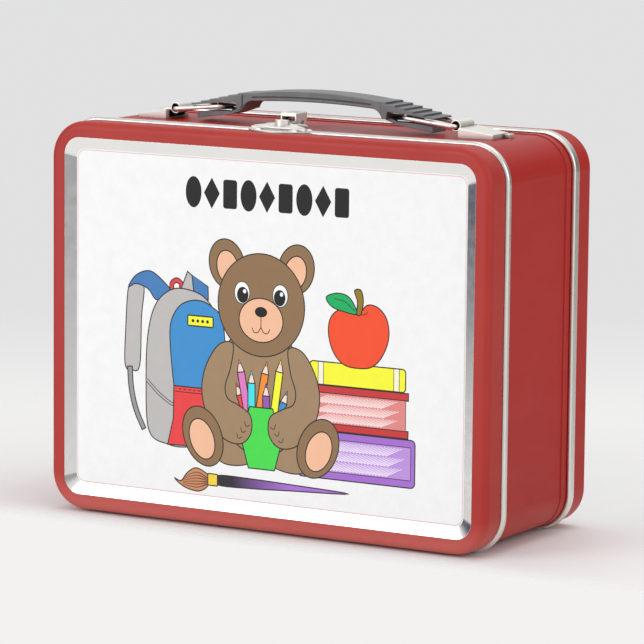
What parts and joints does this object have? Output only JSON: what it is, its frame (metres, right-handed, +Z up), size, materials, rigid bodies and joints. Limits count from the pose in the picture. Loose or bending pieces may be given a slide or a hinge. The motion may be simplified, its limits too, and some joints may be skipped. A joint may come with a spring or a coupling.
{
  "type": "metal lunch box",
  "caption": "Flat rectangular metal lunch box with rounded corners, hinged front lid, top latch, sunk picture panels and a folding bail handle.",
  "frame": {"origin": "on the resting surface, below the middle of the box", "axes": "+X along the width, +Y from the lid to the back, +Z up"},
  "size_m": [0.216, 0.091, 0.1836],
  "materials": {
    "red_enamel": "gloss",
    "bright_trim": "polished",
    "nickel_plate": "satin",
    "plain_steel": "satin",
    "bright_wire": "polished",
    "rivet_steel": "satin",
    "printed_panel": "gloss",
    "white_panel": "gloss",
    "grip_plastic": "satin"
  },
  "bodies": {
    "box": {"body_band": "red_enamel", "back_shell": "red_enamel", "mouth_bead": "bright_trim", "seam_bead": "bright_trim", "back_bezel": "bright_trim", "latch_base": "nickel_plate", "left_mount": "nickel_plate", "right_mount": "nickel_plate", "body_hinge_leaf": "plain_steel", "hinge_pin": "plain_steel", "latch_pin": "plain_steel", "latch_backing_plate": "plain_steel", "left_backing_plate": "plain_steel", "right_backing_plate": "plain_steel", "body_hinge_rivets": "rivet_steel", "latch_rivets": "rivet_steel", "left_mount_rivets": "rivet_steel", "right_mount_rivets": "rivet_steel", "back_plate": "white_panel"},
    "lid": {"lid_shell": "red_enamel", "lid_bezel": "bright_trim", "front_plate": "printed_panel", "catch_plate": "nickel_plate", "catch_rivets": "rivet_steel", "lid_hinge_leaf": "plain_steel", "lid_hinge_rivets": "rivet_steel"},
    "latch": {"latch_lever": "nickel_plate"},
    "handle": {"handle_grip": "grip_plastic", "handle_core_strap": "plain_steel"},
    "left_ring": {"left_link": "bright_wire"},
    "right_ring": {"right_link": "bright_wire"}
  },
  "joints": [
    {"name": "lid_hinge", "type": "hinge", "parent": "box", "child": "lid", "pos_m": [0, -0.03117, 0.00175], "axis": [1, 0, 0], "range_deg": [0, 105]},
    {"name": "latch_pivot", "type": "hinge", "parent": "box", "child": "latch", "pos_m": [0, -0.0213, 0.1724], "axis": [-1, 0, 0], "range_deg": [0, 65]},
    {"name": "handle_lift", "type": "slide", "parent": "box", "child": "handle", "axis": [0, 0, 1], "range_m": [0, 0.007]},
    {"name": "left_ring_pivot", "type": "hinge", "parent": "box", "child": "left_ring", "pos_m": [-0.0686, 0, 0.1729], "axis": [0, -1, 0], "range_deg": [0, 17.6]},
    {"name": "right_ring_pivot", "type": "hinge", "parent": "box", "child": "right_ring", "pos_m": [0.0686, 0, 0.1729], "axis": [0, 1, 0], "range_deg": [0, 17.6]}
  ],
  "couplings": [
    {"joint": "left_ring_pivot", "follows": "handle_lift", "rad_per_m": 43.4},
    {"joint": "right_ring_pivot", "follows": "handle_lift", "rad_per_m": 43.4}
  ]
}
